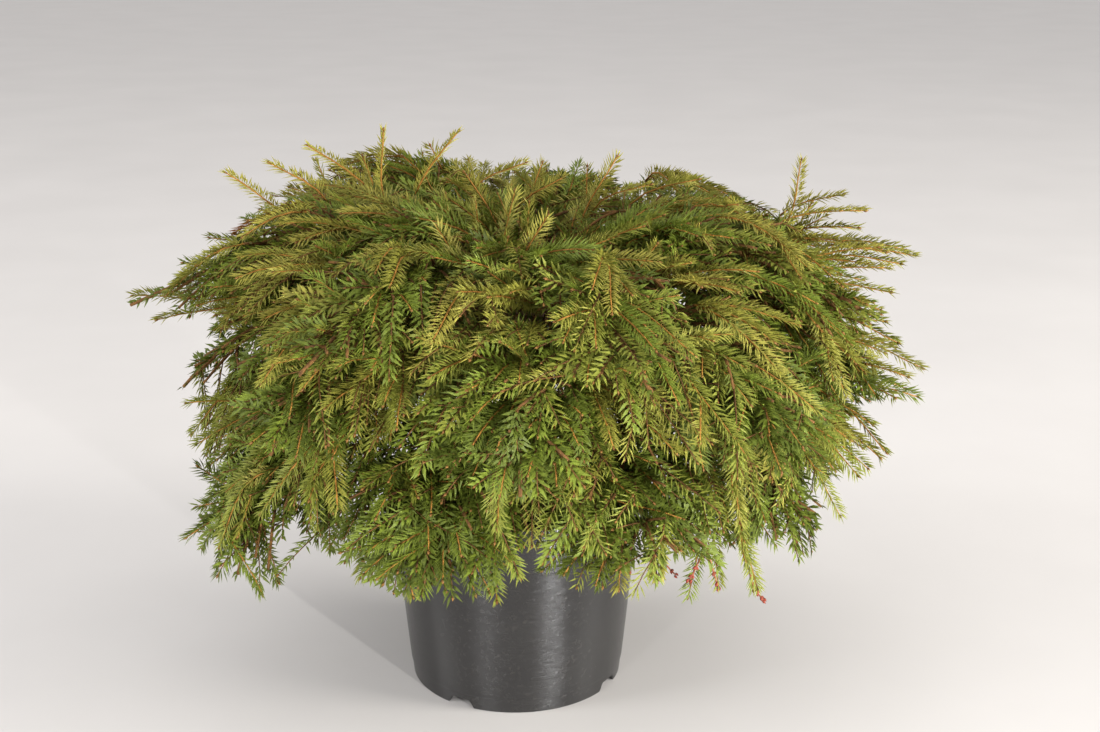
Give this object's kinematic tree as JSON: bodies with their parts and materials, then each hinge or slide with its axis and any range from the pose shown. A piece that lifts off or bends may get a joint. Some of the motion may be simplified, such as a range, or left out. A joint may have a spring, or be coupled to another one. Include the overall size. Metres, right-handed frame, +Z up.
{
  "type": "potted weeping norway spruce",
  "caption": "Weeping dwarf spruce in a round nursery container: short trunk, arching boughs and a wide, drooping mound of needles.",
  "frame": {"origin": "on the ground, under the middle of the pot's foot", "axes": "+Z up the trunk, -Y to the front, +X to the viewer's right"},
  "size_m": [0.7521, 0.7218, 0.5469],
  "materials": {
    "pot_plastic": "semi-gloss dark grey moulded plastic",
    "soil": "rough moist growing medium",
    "bark": "rough scaly bark",
    "needles": "satin olive-green needles"
  },
  "bodies": {
    "root": {"pot": "pot_plastic", "soil": "soil", "trunk": "bark", "bough_skirt_1": "bark", "foliage_skirt_1": "needles", "bough_skirt_2": "bark", "foliage_skirt_2": "needles", "bough_skirt_3": "bark", "foliage_skirt_3": "needles", "bough_skirt_4": "bark", "foliage_skirt_4": "needles", "bough_skirt_5": "bark", "foliage_skirt_5": "needles", "bough_skirt_6": "bark", "foliage_skirt_6": "needles", "bough_skirt_7": "bark", "foliage_skirt_7": "needles", "bough_skirt_8": "bark", "foliage_skirt_8": "needles", "bough_side_1": "bark", "foliage_side_1": "needles", "bough_side_2": "bark", "foliage_side_2": "needles", "bough_side_3": "bark", "foliage_side_3": "needles", "bough_side_4": "bark", "foliage_side_4": "needles", "bough_side_5": "bark", "foliage_side_5": "needles", "bough_side_6": "bark", "foliage_side_6": "needles", "bough_side_7": "bark", "foliage_side_7": "needles", "bough_side_8": "bark", "foliage_side_8": "needles", "bough_side_9": "bark", "foliage_side_9": "needles", "bough_shoulder_1": "bark", "foliage_shoulder_1": "needles", "bough_shoulder_2": "bark", "foliage_shoulder_2": "needles", "bough_shoulder_3": "bark", "foliage_shoulder_3": "needles", "bough_shoulder_4": "bark", "foliage_shoulder_4": "needles", "bough_shoulder_5": "bark", "foliage_shoulder_5": "needles", "bough_shoulder_6": "bark", "foliage_shoulder_6": "needles", "bough_shoulder_7": "bark", "foliage_shoulder_7": "needles", "bough_top_1": "bark", "foliage_top_1": "needles", "bough_top_2": "bark", "foliage_top_2": "needles", "bough_top_3": "bark", "foliage_top_3": "needles", "bough_top_4": "bark", "foliage_top_4": "needles", "foliage_leader": "needles"}
  },
  "joints": []
}
